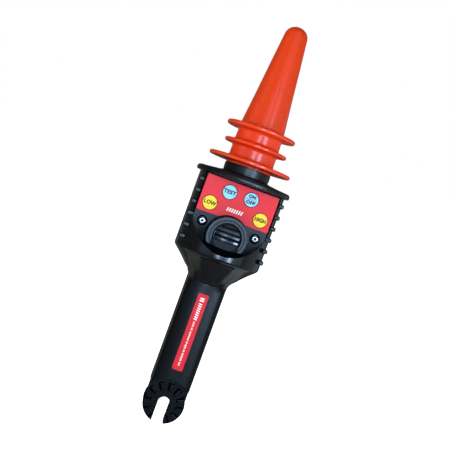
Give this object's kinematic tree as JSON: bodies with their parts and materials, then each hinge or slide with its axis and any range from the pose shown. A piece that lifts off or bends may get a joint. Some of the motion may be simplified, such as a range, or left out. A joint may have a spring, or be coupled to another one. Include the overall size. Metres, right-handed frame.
{
  "type": "non contact voltage tester",
  "caption": "Hot-stick non contact voltage tester: shedded cone over an antenna, round head with key panel and hooded sounder, flared handle and slotted spline fork.",
  "frame": {"origin": "centre of the spline disc and of the slot's round end, in the tool's mid plane", "axes": "+Z along the tool towards the cone tip, key panel facing -Y, +X to the right seen from the panel side"},
  "size_m": [0.0878, 0.0878, 0.3755],
  "materials": {
    "shell_black": "satin moulded plastic, fine texture",
    "plate_grey": "satin moulded plastic, slightly lighter than the shells",
    "cone_orange": "satin moulded plastic, high visibility orange red",
    "overlay_red": "printed film, satin",
    "key_blue": "printed film key cap, satin",
    "key_yellow": "printed film key cap, satin",
    "bright_steel": "bright plated",
    "brass": "plain",
    "board_green": "solder mask",
    "black_rubber": "plain",
    "lamp_red": "clear tinted",
    "natural_plastic": "natural moulding",
    "cell_wrap": "printed sleeve over a steel can"
  },
  "bodies": {
    "tester": {"front_housing": "shell_black", "rear_housing": "shell_black", "control_plate": "plate_grey", "grille_hood": "plate_grey", "louvre_grille": "plate_grey", "panel_overlay": "overlay_red", "circuit_board": "board_green", "switch_dome_test": "bright_steel", "switch_dome_on_off": "bright_steel", "switch_dome_low": "bright_steel", "switch_dome_high": "bright_steel", "controller_chip": "black_rubber", "sounder": "black_rubber", "warning_led_left": "lamp_red", "warning_led_right": "lamp_red", "plate_screw_left": "bright_steel", "plate_screw_right": "bright_steel", "shell_screw_upper_left": "bright_steel", "shell_screw_upper_right": "bright_steel", "shell_screw_lower_left": "bright_steel", "shell_screw_lower_right": "bright_steel", "neck_flange": "shell_black", "neck_seal": "black_rubber", "cone_cover": "cone_orange", "antenna_former": "natural_plastic", "antenna_sleeve": "brass", "antenna_lead": "black_rubber", "spline_fork": "shell_black", "fork_screw_lower": "bright_steel", "fork_screw_upper": "bright_steel", "handle_label": "overlay_red", "cell_left": "cell_wrap", "cell_right": "cell_wrap", "cell_front": "cell_wrap", "contact_board_top": "board_green", "contact_board_bottom": "board_green", "contact_spring_left": "bright_steel", "contact_spring_right": "bright_steel", "contact_spring_front": "bright_steel"},
    "key_test": {"key_test": "key_blue"},
    "key_on_off": {"key_on_off": "key_blue"},
    "key_low": {"key_low": "key_yellow"},
    "key_high": {"key_high": "key_yellow"},
    "battery_door": {"battery_door": "shell_black", "battery_door_screw": "bright_steel"}
  },
  "joints": [
    {"name": "test_key_press", "type": "slide", "parent": "tester", "child": "key_test", "axis": [0, 1, 0], "range_m": [0, 0.0006], "stiffness_N_per_m": 2500},
    {"name": "on_off_key_press", "type": "slide", "parent": "tester", "child": "key_on_off", "axis": [0, 1, 0], "range_m": [0, 0.0006], "stiffness_N_per_m": 2500},
    {"name": "low_key_press", "type": "slide", "parent": "tester", "child": "key_low", "axis": [0, 1, 0], "range_m": [0, 0.0006], "stiffness_N_per_m": 2500},
    {"name": "high_key_press", "type": "slide", "parent": "tester", "child": "key_high", "axis": [0, 1, 0], "range_m": [0, 0.0006], "stiffness_N_per_m": 2500},
    {"name": "battery_door_lift_off", "type": "slide", "parent": "tester", "child": "battery_door", "axis": [0, 1, 0], "range_m": [0, 0.03]}
  ]
}
